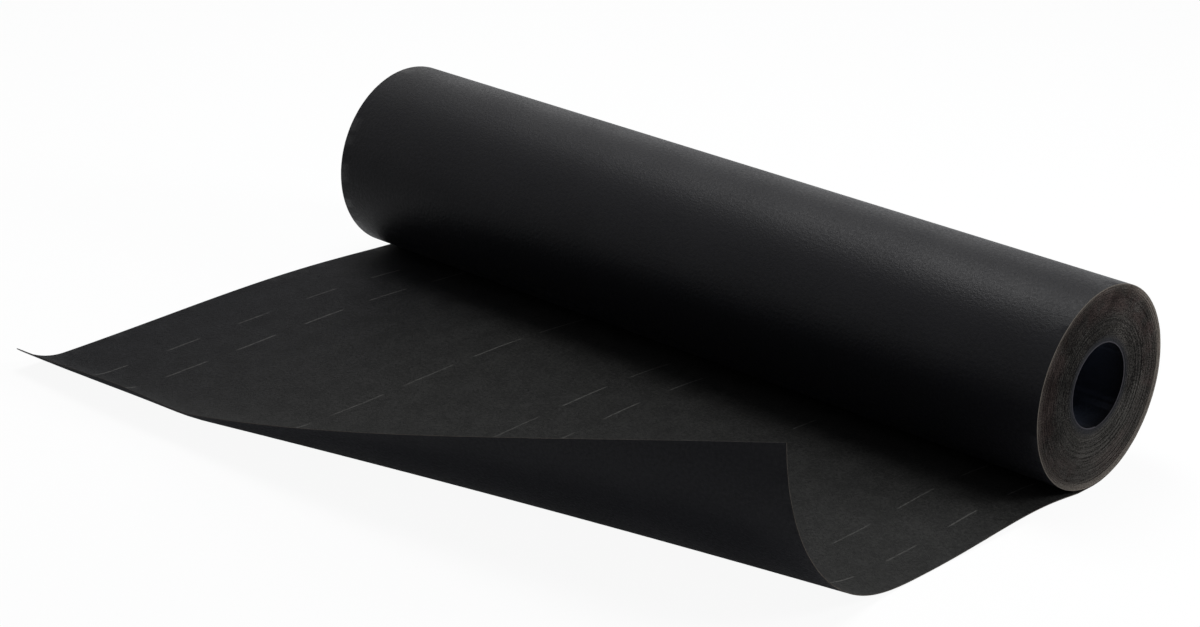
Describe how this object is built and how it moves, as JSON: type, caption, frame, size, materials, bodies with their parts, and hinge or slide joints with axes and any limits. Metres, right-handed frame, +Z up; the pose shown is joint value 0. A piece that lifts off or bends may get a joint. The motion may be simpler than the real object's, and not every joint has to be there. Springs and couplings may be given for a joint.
{
  "type": "roofing felt roll",
  "caption": "Black bitumen-saturated roofing felt wound on an open bore, lying on its side, its free end paid out on the floor and curling up at one corner.",
  "frame": {"origin": "the middle of the part's footprint, on the floor it lies on", "axes": "+X along the roll's axis towards the end with the curled corner, -Y the way the sheet is paid out, +Z up"},
  "size_m": [0.9144, 0.637, 0.1995],
  "materials": {
    "felt": "matte"
  },
  "bodies": {
    "root": {"felt_roll": "felt"}
  },
  "joints": []
}
